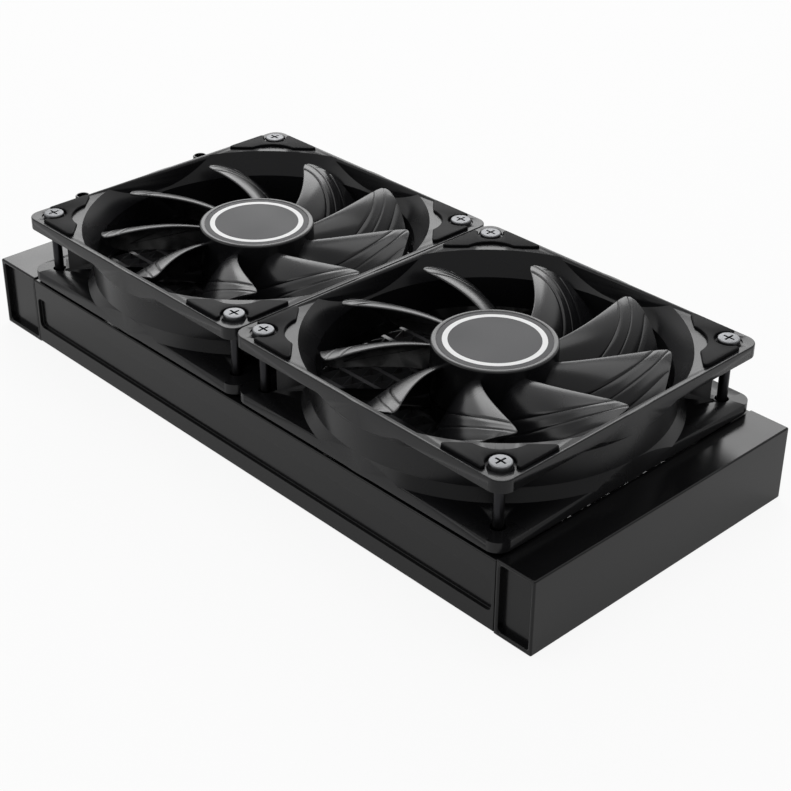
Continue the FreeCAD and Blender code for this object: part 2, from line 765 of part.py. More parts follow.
def make_stator(fan, x):
    """Bearing sleeve, stator core, coils and circuit board of one fan."""
    keep(fan + "_bearing_sleeve", turned(fan + "_bearing_sleeve", [
        ("shaft_radius + shaft_play", "0"),
        ("stem_bore", "0"),
        ("stem_bore", "stem_height - shaft_foot"),
        ("shaft_radius + shaft_play", "stem_height - shaft_foot"),
    ], x, "0", "floor_top"))
    keep(fan + "_circuit_board", turned(fan + "_circuit_board", [
        ("stem_radius", "0"),
        ("board_radius", "0"),
        ("board_radius", "board_thickness"),
        ("stem_radius", "board_thickness"),
    ], x, "0", "floor_top"))
    name = fan + "_stator_core"
    shoe = "stator_radius - pole_thickness"
    ring = cut(name + "_shoes", round_bar(name + "_outside", "stator_radius", "stator_height",
                                          (x, "0", "stator_base")),
               [round_bar(name + "_inside", shoe, "stator_height + 2",
                          (x, "0", "stator_base - 1"))]
               + spokes(name + "_gap", "pole_gap", shoe + " - 1", "stator_radius + 1",
                        "stator_height + 2", x, "stator_base - 1"))
    arms = [box(name + "_arm_long", ("2 * (%s) + 1" % shoe, "arm_width", "stator_height"),
                (x + " - (%s) - 0.5" % shoe, "-arm_width / 2", "stator_base")),
            box(name + "_arm_wide", ("arm_width", "2 * (%s) + 1" % shoe, "stator_height"),
                (x + " - arm_width / 2", "-(%s) - 0.5" % shoe, "stator_base"))]
    middle = round_bar(name + "_middle", "stator_ring", "stator_height",
                       (x, "0", "stator_base"))
    bore = round_bar(name + "_bore", "stem_radius", "stator_height + 2",
                     (x, "0", "stator_base - 1"))
    keep(name, cut(name, fuse(name + "_star", [ring, middle] + arms), [bore]))
    coil_length = "%s - stator_ring - 2 * coil_inset" % shoe
    start = "stator_ring + coil_inset"
    width = "arm_width + 2 * coil_wrap"
    coils = []
    for number, (way, cross) in enumerate((("+", False), ("-", False), ("+", True),
                                           ("-", True))):
        low = start if way == "+" else "-(%s) - (%s)" % (start, coil_length)
        tag = "%s_coil_%d" % (fan, number)
        sides = [coil_length, width]
        inner = ["%s + 2" % coil_length, "arm_width"]
        corner = [low, "-(%s) / 2" % width]
        inner_corner = ["%s - 1" % low, "-arm_width / 2"]
        if cross:
            for pair in (sides, inner, corner, inner_corner):
                pair.reverse()
        solid = box(tag + "_block", (sides[0], sides[1], "stator_height + 2 * coil_wrap"),
                    (x + " + " + corner[0], corner[1], "stator_base - coil_wrap"))
        space = box(tag + "_space", (inner[0], inner[1], "stator_height"),
                    (x + " + " + inner_corner[0], inner_corner[1], "stator_base"))
        coils.append(cut(tag, solid, [space]))
    keep(fan + "_coils", group(fan + "_coils", coils))


make_radiator()
blade = blade_shape()
for fan, centre in (("left", "core_middle - fan_step"), ("right", "core_middle + fan_step")):
    make_frame(fan, centre)
    make_pads(fan, centre)
    make_screws(fan, centre)
    make_rotor(fan, centre, blade)
    make_stator(fan, centre)
doc.recompute()

for obj in doc.Objects:
    if "Invalid" in obj.State or "Error" in obj.State:
        raise RuntimeError("%s: %s" % (obj.Name, obj.State))
for name, obj in nodes.items():
    if obj.Shape.isNull() or not obj.Shape.isValid() or not obj.Shape.Solids:
        raise RuntimeError("bad shape in " + name)
for name, obj in nodes.items():
    obj.Shape.exportStep("parts/%s.step" % name)
print(len(nodes), "nodes")
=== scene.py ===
"""Radiator of a closed loop liquid cooler with its fans, dressed for a studio view.

All lengths in the dataclasses are millimetres; meshes are made in metres in the
frame's own coordinates, +X along the radiator, +Z up through the fans.
"""

import logging
import math
from dataclasses import dataclass
from enum import Enum

import bmesh
import bpy
from mathutils import Matrix, Vector


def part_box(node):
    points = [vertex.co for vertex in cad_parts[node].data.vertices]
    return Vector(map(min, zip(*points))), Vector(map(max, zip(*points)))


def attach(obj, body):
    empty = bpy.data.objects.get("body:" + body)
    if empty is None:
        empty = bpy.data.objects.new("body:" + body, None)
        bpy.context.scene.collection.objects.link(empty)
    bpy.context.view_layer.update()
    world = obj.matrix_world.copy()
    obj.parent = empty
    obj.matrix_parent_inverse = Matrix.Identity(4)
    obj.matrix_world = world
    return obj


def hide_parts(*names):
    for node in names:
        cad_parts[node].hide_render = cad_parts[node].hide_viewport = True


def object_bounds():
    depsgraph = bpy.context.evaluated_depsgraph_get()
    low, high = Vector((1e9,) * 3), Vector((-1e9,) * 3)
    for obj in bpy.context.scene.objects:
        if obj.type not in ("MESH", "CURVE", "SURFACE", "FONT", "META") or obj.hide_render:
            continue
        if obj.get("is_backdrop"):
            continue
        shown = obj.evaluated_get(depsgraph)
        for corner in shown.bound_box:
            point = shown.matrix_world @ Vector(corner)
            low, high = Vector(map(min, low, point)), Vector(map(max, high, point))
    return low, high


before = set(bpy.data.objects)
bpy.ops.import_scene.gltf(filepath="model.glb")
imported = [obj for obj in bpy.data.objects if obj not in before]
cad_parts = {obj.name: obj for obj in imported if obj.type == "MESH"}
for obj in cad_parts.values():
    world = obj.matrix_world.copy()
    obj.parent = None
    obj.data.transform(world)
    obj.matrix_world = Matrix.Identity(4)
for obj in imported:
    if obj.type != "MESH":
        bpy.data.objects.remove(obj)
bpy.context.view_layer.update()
LOG = logging.getLogger("cooler")
MM = 0.001
ROUND_STEPS = 120


class Body(Enum):
    """Rigid bodies of the cooler that a piece can ride on."""

    COOLER = "cooler"
    LEFT_ROTOR = "left_rotor"
    RIGHT_ROTOR = "right_rotor"


class Surface(Enum):
    """How a surface was made, which decides the pattern its finish shows."""

    MOULDED = "moulded"
    SPRAYED = "sprayed"
    TURNED = "turned"
    WOUND = "wound"


def linear(code: str) -> tuple[float, float, float, float]:
    """Turn an sRGB hex code into a linear colour.

    Args:
        code: six hex digits after a hash sign.

    Returns:
        Linear red, green, blue and an alpha of one.
    """
    parts = [int(code[start:start + 2], 16) / 255 for start in (1, 3, 5)]
    return tuple(part / 12.92 if part <= 0.04045 else ((part + 0.055) / 1.055) ** 2.4
                 for part in parts) + (1.0,)


def add_node(tree: bpy.types.NodeTree, kind: str, settings: dict | None = None,
             inputs: dict | None = None) -> bpy.types.Node:
    """Add a node with its settings and its input values or links.

    Args:
        tree: node tree that gets the node.
        kind: Blender's name for the node's type.
        settings: node properties by name.
        inputs: values, or output sockets to link from, by input name or number.

    Returns:
        The new node.
    """
    node = tree.nodes.new(kind)
    for name, value in (settings or {}).items():
        setattr(node, name, value)
    for name, value in (inputs or {}).items():
        if isinstance(value, bpy.types.NodeSocket):
            tree.links.new(value, node.inputs[name])
        else:
            node.inputs[name].default_value = value
    return node


@dataclass(frozen=True)
class Finish:
    """A finish: base colour, gloss and the fine pattern of how it was made."""

    name: str
    colour: str
    second_colour: str
    surface: Surface = Surface.MOULDED
    roughness: float = 0.45
    metallic: float = 0.0
    ior: float = 1.5
    grain: float = 0.8
    relief: float = 0.02
    cloud: float = 25.0
    centre: tuple[float, float, float] = (0.0, 0.0, 0.0)

    def build(self) -> bpy.types.Material:
        """Make the node material of this finish."""
        material = bpy.data.materials.get(self.name)
        if material is not None:
            return material
        material = bpy.data.materials.new(self.name)
        material.use_nodes = True
        tree = material.node_tree
        tree.nodes.clear()
        place = add_node(tree, "ShaderNodeTexCoord").outputs["Object"]
        spot = add_node(tree, "ShaderNodeMapping", inputs={
            "Vector": place, "Location": [-part * MM for part in self.centre]})
        point = spot.outputs["Vector"]
        cloud = add_node(tree, "ShaderNodeTexNoise", inputs={
            "Vector": point, "Scale": 1 / (self.cloud * MM), "Detail": 3.0})
        grain = self.grain_height(tree, point)
        tone = add_node(tree, "ShaderNodeMix", {"data_type": "RGBA"}, {
            0: cloud.outputs["Fac"], 6: linear(self.colour), 7: linear(self.second_colour)})
        gloss = add_node(tree, "ShaderNodeMapRange", inputs={
            "Value": cloud.outputs["Fac"], "From Min": 0.3, "From Max": 0.7,
            "To Min": self.roughness - 0.04, "To Max": self.roughness + 0.04})
        bump = add_node(tree, "ShaderNodeBump", inputs={
            "Strength": 0.35, "Distance": self.relief * MM, "Height": grain})
        shader = add_node(tree, "ShaderNodeBsdfPrincipled", inputs={
            "Base Color": tone.outputs[2], "Metallic": self.metallic, "IOR": self.ior,
            "Roughness": gloss.outputs["Result"], "Normal": bump.outputs["Normal"]})
        add_node(tree, "ShaderNodeOutputMaterial", inputs={
            "Surface": shader.outputs["BSDF"]})
        return material

    def grain_height(self, tree: bpy.types.NodeTree,
                     point: bpy.types.NodeSocket) -> bpy.types.NodeSocket:
        """Height pattern of the fine texture.

        Args:
            tree: node tree of the material.
            point: socket with the place on the surface.

        Returns:
            Socket with the height.
        """
        scale = 1 / (self.grain * MM)
        if self.surface in (Surface.TURNED, Surface.WOUND):
            bands = "RINGS" if self.surface is Surface.TURNED else "BANDS"
            wave = add_node(tree, "ShaderNodeTexWave", {
                "wave_type": bands, **({"rings_direction": "Z"} if bands == "RINGS" else {})},
                {"Vector": point, "Scale": scale / 6.3, "Distortion": 0.4})
            return wave.outputs["Fac"]
        detail = 2.0 if self.surface is Surface.MOULDED else 0.5
        noise = add_node(tree, "ShaderNodeTexNoise", inputs={
            "Vector": point, "Scale": scale, "Detail": detail})
        return noise.outputs["Fac"]


# Every grain is drawn coarser than the real one, which is too fine to show.
# Stove enamel over aluminium: near black, an even soft sheen.
ENAMEL = Finish("stove_enamel", "#0c0c0d", "#0f0f10", Surface.SPRAYED, 0.2, ior=1.36,
                grain=0.6, relief=0.008)
# The same enamel on the thin fins and tubes, painted lighter grey than the enamel to stand in
# for the light that reaches them through the gaps.
FIN_ENAMEL_PAINTED_LIGHT = Finish("core_enamel_painted_light", "#4a4a4c", "#545456", Surface.SPRAYED, 0.3, grain=0.5)
# Glass filled polyester of the fan frames: fine spark-eroded mould grain.
FRAME_PLASTIC = Finish("moulded_polyester", "#151516", "#18181a", Surface.MOULDED, 0.28,
                       ior=1.36, grain=0.55, relief=0.012)
# The same plastic from a smoother mould on the blades, with a silky sheen.
BLADE_PLASTIC = Finish("silky_polyester", "#151516", "#18181a", Surface.MOULDED, 0.26,
                       ior=1.45, grain=0.5, relief=0.004)
# Soft silicone rubber of the corner pads: dull and darker than the plastic.
PAD_RUBBER = Finish("silicone_rubber", "#08080a", "#0b0b0c", Surface.MOULDED, 0.45, ior=1.13,
                    grain=0.7, relief=0.02)
# Zinc plated steel of the screws: pale grey, softly brushed by tumbling.
SCREW_STEEL = Finish("zinc_plated_steel", "#68696b", "#757678", Surface.SPRAYED, 0.4, 1.0,
                     grain=0.4)
# Steel of the shanks under the heads, painted darker than the heads to stand in for the shade
# between the flanges.
SHANK_STEEL_PAINTED_SHADE = Finish("shank_steel_painted_shade", "#2a2a2c", "#343436", Surface.SPRAYED, 0.3, 1.0,
                     grain=0.4)
# Printed ink of the ring: plain white, hardly any gloss.
RING_INK = Finish("white_ink", "#dcdcdc", "#e6e6e6", Surface.SPRAYED, 0.4, grain=0.4,
                  relief=0.004)
# Foil of the hub disc: flat mid grey without a pattern.
DISC_FOIL = Finish("grey_foil", "#3f3f41", "#444446", Surface.SPRAYED, 0.45, ior=1.25,
                   grain=0.3, relief=0.004)
# Pressed steel of the yoke: grey metal with fine rings.
YOKE_STEEL = Finish("pressed_steel", "#87888a", "#929395", Surface.TURNED, 0.35, 1.0)
# Bonded ferrite: dull and charcoal grey.
MAGNET = Finish("bonded_ferrite", "#2b2b2c", "#343435", Surface.MOULDED, 0.7)
# Ground steel of the shaft: bright, with fine rings.
SHAFT_STEEL = Finish("ground_steel", "#a9aaac", "#b4b5b7", Surface.TURNED, 0.2, 1.0)
# Sintered bronze of the bearing: brown metal with an open grain.
BRONZE = Finish("sintered_bronze", "#8a6a3c", "#967646", Surface.MOULDED, 0.5, 1.0, grain=0.3)
# Lacquered glass epoxy: dark green with an even gloss.
BOARD = Finish("glass_epoxy_board", "#1d4a2a", "#235432", Surface.SPRAYED, 0.35)
# Stacked steel sheets: grey metal with fine bands.
LAMINATION = Finish("laminated_steel", "#6d6e70", "#7a7b7d", Surface.WOUND, 0.45, 1.0,
                    grain=0.5)
# Enamelled copper wire: warm brown with the bands of its turns.
COPPER = Finish("enamelled_copper", "#a65a2c", "#b8683a", Surface.WOUND, 0.3, 1.0, grain=0.25,
                relief=0.05)


def publish(name: str, mesh: bpy.types.Mesh, finish: Finish, body: Body,
            replaced: tuple[str, ...] = ()) -> bpy.types.Object:
    """Put a finished mesh into the scene as a piece of the object.

    Args:
        name: name of the piece.
        mesh: mesh with its place in its vertices.
        finish: finish for the whole piece, unless the mesh has materials already.
        body: body the piece rides on.
        replaced: CAD nodes that the piece stands for.

    Returns:
        The new object.
    """
    if not mesh.materials:
        mesh.materials.append(finish.build())
    piece = bpy.data.objects.new(name, mesh)
    mesh.name = name
    bpy.context.scene.collection.objects.link(piece)
    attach(piece, body.value)
    if replaced:
        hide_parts(*replaced)
    LOG.info("%s: %d faces on %s", name, len(mesh.polygons), body.value)
    return piece


def mesh_from(name: str, points: list[Vector], faces: list[tuple[int, ...]],
              crease: float = 35.0) -> bpy.types.Mesh:
    """Make a closed mesh with outward faces, smooth except at sharp edges.

    Args:
        name: name of the mesh.
        points: vertices in metres.
        faces: vertex numbers of each face.
        crease: angle in degrees above which an edge stays sharp.

    Returns:
        The mesh.
    """
    mesh = bpy.data.meshes.new(name)
    mesh.from_pydata(points, [], faces)
    work = bmesh.new()
    work.from_mesh(mesh)
    bmesh.ops.remove_doubles(work, verts=work.verts, dist=1e-7)
    bmesh.ops.recalc_face_normals(work, faces=work.faces)
    work.to_mesh(mesh)
    work.free()
    mesh.shade_smooth()
    mesh.set_sharp_from_angle(angle=math.radians(crease))
    return mesh


def lathe(profile: list[tuple[float, float]], centre: tuple[float, float],
          steps: int) -> tuple[list[Vector], list[tuple[int, ...]]]:
    """Turn a closed profile about a vertical axis.

    Args:
        profile: (radius, height) corners in millimetres, round the section.
        centre: x and y of the axis in millimetres.
        steps: number of steps round the axis.

    Returns:
        Vertices in metres and faces.
    """
    points, faces = [], []
    count = len(profile)
    for step in range(steps):
        angle = 2 * math.pi * step / steps
        for radius, height in profile:
            points.append(Vector((centre[0] + radius * math.cos(angle),
                                  centre[1] + radius * math.sin(angle), height)) * MM)
    for step in range(steps):
        here, there = step * count, (step + 1) % steps * count
        for spot in range(count):
            after = (spot + 1) % count
            if profile[spot][0] == 0 and profile[after][0] == 0:
                continue
            faces.append((here + spot, there + spot, there + after, here + after))
    return points, faces


def rounded_corner(corner: tuple[float, float], start: float, radius: float,
                   steps: int = 5) -> list[tuple[float, float]]:
    """Quarter circle that rounds a profile's corner.

    Args:
        corner: centre of the quarter circle as (radius, height).
        start: first angle in degrees, counted from outwards to up.
        radius: radius of the rounding.
        steps: number of steps.

    Returns:
        Points of the quarter circle.
    """
    return [(corner[0] + radius * math.cos(math.radians(start + 90 * step / steps)),
             corner[1] + radius * math.sin(math.radians(start + 90 * step / steps)))
            for step in range(steps + 1)]


def one_finish(mesh: bpy.types.Mesh, finish: Finish) -> bpy.types.Mesh:
    """Give every face of a mesh the same finish.

    Args:
        mesh: mesh to paint.
        finish: its finish.

    Returns:
        The same mesh.
    """
    mesh.materials.clear()
    mesh.materials.append(finish.build())
    mesh.polygons.foreach_set("material_index", [0] * len(mesh.polygons))
    return mesh


class Repeater:
    """A Geometry Nodes tree that sets copies of one piece, made into one plain mesh."""

    def __init__(self, name: str, piece: bpy.types.Mesh, finish: Finish) -> None:
        """Start the tree.

        Args:
            name: name of the result.
            piece: mesh of one copy, about its own origin.
            finish: finish of all copies.
        """
        self.name = name
        self.finish = finish
        self.source = bpy.data.objects.new(name + "_one", piece)
        self.tree = bpy.data.node_groups.new(name + "_layout", "GeometryNodeTree")
        self.tree.interface.new_socket("Geometry", in_out="OUTPUT",
                                       socket_type="NodeSocketGeometry")
        self.values: dict[str, object] = {}
        self.add_input("Piece", "NodeSocketObject", self.source)

    def add_input(self, name: str, kind: str, value: object) -> None:
        """Add a named input with the value that the modifier gives it."""
        socket = self.tree.interface.new_socket(name, in_out="INPUT", socket_type=kind)
        self.values[socket.identifier] = value

    def turned_copies(self, count: int, middle: tuple[float, float, float]) -> bpy.types.Mesh:
        """Set copies about one upright axis, each turned on by an equal step.

        Args:
            count: number of copies in the full circle.
            middle: place of the axis in metres.

        Returns:
            One mesh of all the copies.
        """
        self.add_input("Count", "NodeSocketInt", count)
        self.add_input("Middle", "NodeSocketVector", middle)
        self.add_input("Step", "NodeSocketFloat", 2 * math.pi / count)
        entry = add_node(self.tree, "NodeGroupInput")
        spots = add_node(self.tree, "GeometryNodeMeshLine", inputs={
            "Count": entry.outputs["Count"], "Start Location": entry.outputs["Middle"],
            "Offset": (0.0, 0.0, 0.0)})
        index = add_node(self.tree, "GeometryNodeInputIndex")
        turn = add_node(self.tree, "ShaderNodeMath", {"operation": "MULTIPLY"}, {
            0: index.outputs[0], 1: entry.outputs["Step"]})
        angles = add_node(self.tree, "ShaderNodeCombineXYZ", inputs={
            "Z": turn.outputs[0]})
        return self.finish_tree(spots.outputs["Mesh"], entry, angles.outputs[0])

    def finish_tree(self, points: bpy.types.NodeSocket, entry: bpy.types.Node,
                    rotation: bpy.types.NodeSocket | None = None) -> bpy.types.Mesh:
        """Set a copy on every point and turn the result into a plain mesh.

        Args:
            points: socket with the points.
            entry: the tree's input node.
            rotation: socket with each copy's rotation, if they turn.

        Returns:
            One mesh of all the copies.
        """
        info = add_node(self.tree, "GeometryNodeObjectInfo", inputs={
            "Object": entry.outputs["Piece"]})
        links = {"Points": points, "Instance": info.outputs["Geometry"]}
        if rotation is not None:
            links["Rotation"] = rotation
        copies = add_node(self.tree, "GeometryNodeInstanceOnPoints", inputs=links)
        real = add_node(self.tree, "GeometryNodeRealizeInstances", inputs={
            "Geometry": copies.outputs["Instances"]})
        painted = add_node(self.tree, "GeometryNodeSetMaterial", inputs={
            "Geometry": real.outputs["Geometry"], "Material": self.finish.build()})
        add_node(self.tree, "NodeGroupOutput", inputs={
            "Geometry": painted.outputs["Geometry"]})
        carrier = bpy.data.objects.new(self.name + "_carrier",
                                       bpy.data.meshes.new(self.name + "_carrier"))
        bpy.context.scene.collection.objects.link(carrier)
        modifier = carrier.modifiers.new("layout", "NODES")
        modifier.node_group = self.tree
        for identifier, value in self.values.items():
            modifier[identifier] = value
        graph = bpy.context.evaluated_depsgraph_get()
        mesh = bpy.data.meshes.new_from_object(carrier.evaluated_get(graph))
        carrier.modifiers.remove(modifier)
        bpy.data.objects.remove(carrier)
        bpy.data.objects.remove(self.source)
        return one_finish(mesh, self.finish)


@dataclass
class FanLayout:
    """Where the fans stand and how high, read from the frame's own boxes."""

    screw_spacing: float = 105.0
    corner_axis: float = 54.9

    def __post_init__(self) -> None:
        """Work the centres out from the two fan frames."""
        self.centres: dict[str, float] = {}
        for fan in ("left", "right"):
            low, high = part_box(fan + "_fan_frame")
            self.centres[fan] = (low[0] + high[0]) / 2 / MM
            self.base, self.top = low[2] / MM, high[2] / MM


@dataclass
class Impeller:
    """Hub and swept blades of one fan; heights are counted from the frame's base."""

    fan: str
    centre: float
    base: float
    blade_count: int = 9
    hub_radius: float = 20.8
    hub_inner: float = 19.3
    hub_low: float = 5.5
    hub_high: float = 24.2
    roof: float = 1.9
    boss_radius: float = 3.0
    boss_drop: float = 2.8
    shaft_radius: float = 1.5
    label_radius: float = 18.9
    label_depth: float = 0.25
    edge_radius: float = 0.8
    tip_radius: float = 56.1
    tip_angle: float = 1.5
    sweep: float = 19.5
    sweep_power: float = 1.3
    root_chord: float = 30.0
    tip_chord: float = 28.0
    lead_height: float = 20.5
    lead_rise: float = 3.2
    lead_bow: float = 1.0
    trail_height: float = 5.2
    trail_rise: float = 0.5
    camber: float = 0.95
    nose_radius: float = 3.0
    thickness: float = 1.4
    edge_thickness: float = 0.8
    groove_depth: float = 0.24
    groove_width: float = 0.42
    grooves: tuple[float, ...] = (50.4, 55.4, 60.3)
    groove_fall: float = 0.38
    groove_bend: float = 0.016
    groove_fan: float = 0.042
    groove_middle: float = 55.6
    hollow_depth: float = 0.12
    last_hollow: float = 5.0
    row_step: float = 1.9
    row_gap: float = 0.3
    root_bury: float = 0.9
    tip_squeeze: float = 1.6
    nose_share: float = 0.02
    slope_step: float = 0.01
    columns: int = 28
    disc_play: float = 0.05
    disc_depth: float = 0.15
    ring_inner: float = 15.2
    ring_outer: float = 17.0
    ink_depth: float = 0.03

    def middle(self, radius: float, share: float) -> tuple[float, float]:
        """Middle surface of a blade.

        Args:
            radius: distance from the axis.
            share: 0 at the leading edge, 1 at the trailing edge.

        Returns:
            Angle in degrees and height.
        """
        span = (radius - self.hub_radius) / (self.tip_radius - self.hub_radius)
        chord = self.root_chord + (self.tip_chord - self.root_chord) * span
        over = max(0.0, radius - (self.tip_radius - self.nose_radius))
        lost = self.nose_radius - math.sqrt(max(self.nose_radius ** 2 - over ** 2, 0.0))
        start = math.degrees(lost / self.tip_radius) / chord
        reach = start + (1 - self.tip_squeeze * start) * share
        lead = self.tip_angle - self.sweep * max(1 - span, 0.0) ** self.sweep_power
        fall = reach * (1 - self.camber) + self.camber * reach * reach
        top = (self.lead_height + self.lead_rise * span
               + 4 * self.lead_bow * span * (1 - span))
        low = self.trail_height + self.trail_rise * span
        return lead - chord * reach, top + (low - top) * fall

    def fall(self, share: float) -> float:
        """How far inwards the middle groove has run at a share of the chord."""
        behind = (self.root_chord + self.tip_chord) / 2 * share
        return self.groove_fall * behind + self.groove_bend * behind * behind

    def radius_on(self, line: float, share: float) -> float:
        """Radius at a share of the chord of the line that starts at a radius."""
        fan_out = 1 + self.groove_fan * (self.groove_middle - line)
        return line - self.fall(share) * fan_out

    def line_through(self, radius: float, share: float) -> float:
        """Radius at the leading edge of the line through a point of the blade.

        Args:
            radius: distance of the point from the axis.
            share: 0 at the leading edge, 1 at the trailing edge.

        Returns:
            Radius at which the line leaves the leading edge.
        """
        fall = self.fall(share)
        return (radius + fall * (1 + self.groove_fan * self.groove_middle)) / (
            1 + self.groove_fan * fall)

    def relief(self, line: float) -> float:
        """Height that grooves and hollows give the upper skin.

        Args:
            line: radius at which the line leaves the leading edge.

        Returns:
            Height over the plain skin, 0 or less.
        """
        height = 0.0
        for groove in self.grooves:
            gap = abs(line - groove) / self.groove_width
            if gap < 1:
                height = min(height, -self.groove_depth * (1 - gap * gap) ** 2)
        ends = self.grooves[1:] + (self.grooves[-1] + self.last_hollow,)
        for low, high in zip(self.grooves, ends):
            share = (line - low) / (high - low)
            if 0 < share < 1:
                height -= self.hollow_depth * 4 * share * (1 - share)
        return height

    def row_lines(self) -> list[float]:
        """Rows of the blade's mesh, close together across each groove."""
        inner = self.hub_radius - self.root_bury
        end = self.line_through(self.tip_radius, 1.0)
        count = round((end - inner) / self.row_step)
        lines = [inner + (end - inner) * step / count for step in range(count + 1)]
        near = [groove + self.groove_width * step / 2
                for groove in self.grooves for step in (-2, -1, 0, 1, 2)]
        far = [line for line in lines[1:-1] if all(
            abs(line - mark) > self.row_gap for mark in near)]
        return sorted(far + near + [lines[0], lines[-1]])

    def blade(self) -> bpy.types.Mesh:
        """Mesh of one blade about the fan's axis, with rows along its grooves."""
        inner = self.hub_radius - self.root_bury
        shares = [0.5 - 0.5 * math.cos(math.pi * step / self.columns)
                  for step in range(self.columns + 1)]
        lines = self.row_lines()
        points: list[Vector] = []
        for line in lines:
            for side in (1, -1):
                order = (range(self.columns + 1) if side > 0
                         else range(self.columns - 1, 0, -1))
                for step in order:
                    radius = self.radius_on(line, shares[step])
                    radius = min(self.tip_radius, max(inner, radius))
                    points.append(self.skin_point(radius, shares[step], side))
        width = 2 * self.columns
        faces = [(row * width + step, row * width + (step + 1) % width,
                  (row + 1) * width + (step + 1) % width, (row + 1) * width + step)
                 for row in range(len(lines) - 1) for step in range(width)]
        for base in (0, (len(lines) - 1) * width):
            for step in range(self.columns):
                back = (width - step) % width
                side = (base + step, base + step + 1, base + width - step - 1, base + back)
                faces.append(side if 0 < step < self.columns - 1 else side[:3])
        return mesh_from(self.fan + "_blade", points, faces, 50)

    def skin_point(self, radius: float, share: float, side: int) -> Vector:
        """Point on the upper or lower skin of a blade.

        Args:
            radius: distance from the axis.
            share: 0 at the leading edge, 1 at the trailing edge.
            side: 1 for the upper skin, -1 for the lower.

        Returns:
            The point in metres.
        """
        angle, height = self.middle(radius, share)
        before = self.middle(radius, max(share - self.slope_step, 0.0))
        after = self.middle(radius, min(share + self.slope_step, 1.0))
        run = radius * math.radians(after[0] - before[0])
        rise = after[1] - before[1]
        length = math.hypot(run, rise)
        bulk = self.edge_thickness + (self.thickness - self.edge_thickness) * 4 * share * (
            1 - share)
        near_edge = min(1.0, min(share, 1 - share) / self.nose_share)
        nose = math.sqrt(max(0.0, 1 - (1 - near_edge) ** 2))
        half = bulk / 2 * nose
        if side > 0:
            half += self.relief(self.line_through(radius, share)) * nose
        turn = math.radians(angle) + side * half * rise / length / radius
        lift = -side * half * run / length
        return Vector((radius * math.cos(turn), radius * math.sin(turn),
                       height + self.base + lift)) * MM

    def hub(self) -> tuple[list[Vector], list[tuple[int, ...]]]:
        """Turned cup of the hub with its rounded rim, boss and seat for the disc."""
        low, high = self.base + self.hub_low, self.base + self.hub_high
        inside = high - self.roof
        corner = (self.hub_radius - self.edge_radius, high - self.edge_radius)
        profile = [(self.boss_radius, inside), (self.hub_inner, inside), (self.hub_inner, low),
                   (self.hub_radius - 0.2, low), (self.hub_radius, low + 0.2)]
        profile += rounded_corner(corner, 0, self.edge_radius)
        profile += [(self.label_radius + 0.15, high), (self.label_radius, high - 0.1),
                    (self.label_radius, high - self.label_depth),
                    (0.0, high - self.label_depth), (0.0, inside), (self.shaft_radius, inside),
                    (self.shaft_radius, inside - self.boss_drop),
                    (self.boss_radius, inside - self.boss_drop)]
        return lathe(profile, (0.0, 0.0), ROUND_STEPS)

    def build(self) -> None:
        """Make the impeller, its disc and the disc's ring."""
        body = Body.LEFT_ROTOR if self.fan == "left" else Body.RIGHT_ROTOR
        repeat = Repeater(self.fan + "_blades", self.blade(), BLADE_PLASTIC)
        mesh = repeat.turned_copies(self.blade_count, (0.0, 0.0, 0.0))
        hub = mesh_from(self.fan + "_hub", *self.hub(), 40)
        work = bmesh.new()
        work.from_mesh(mesh)
        work.from_mesh(hub)
        work.to_mesh(mesh)
        work.free()
        one_finish(mesh, BLADE_PLASTIC)
        mesh.transform(Matrix.Translation((self.centre * MM, 0, 0)))
        publish(self.fan + "_impeller_moulding", mesh, BLADE_PLASTIC, body,
                (self.fan + "_impeller",))
        self.disc(body)

    def disc(self, body: Body) -> None:
        """Flat disc on the hub with a plain printed ring.

        Args:
            body: rotor that carries the disc.
        """
        floor = self.base + self.hub_high - self.label_depth
        top = floor + self.disc_depth
        radius = self.label_radius - self.disc_play
        profile = [(0.0, floor), (radius, floor), (radius, top - 0.05), (radius - 0.05, top),
                   (0.0, top)]
        axis = (self.centre, 0.0)
        plate = mesh_from(self.fan + "_disc", *lathe(profile, axis, ROUND_STEPS), 30)
        publish(self.fan + "_hub_disc", plate, DISC_FOIL, body,
                (self.fan + "_hub_label",))
        ink = top + self.ink_depth
        profile = [(self.ring_inner, top), (self.ring_outer, top), (self.ring_outer, ink),
                   (self.ring_inner, ink)]
        ring = mesh_from(self.fan + "_ring", *lathe(profile, axis, ROUND_STEPS), 30)
        publish(self.fan + "_disc_ring", ring, RING_INK, body)


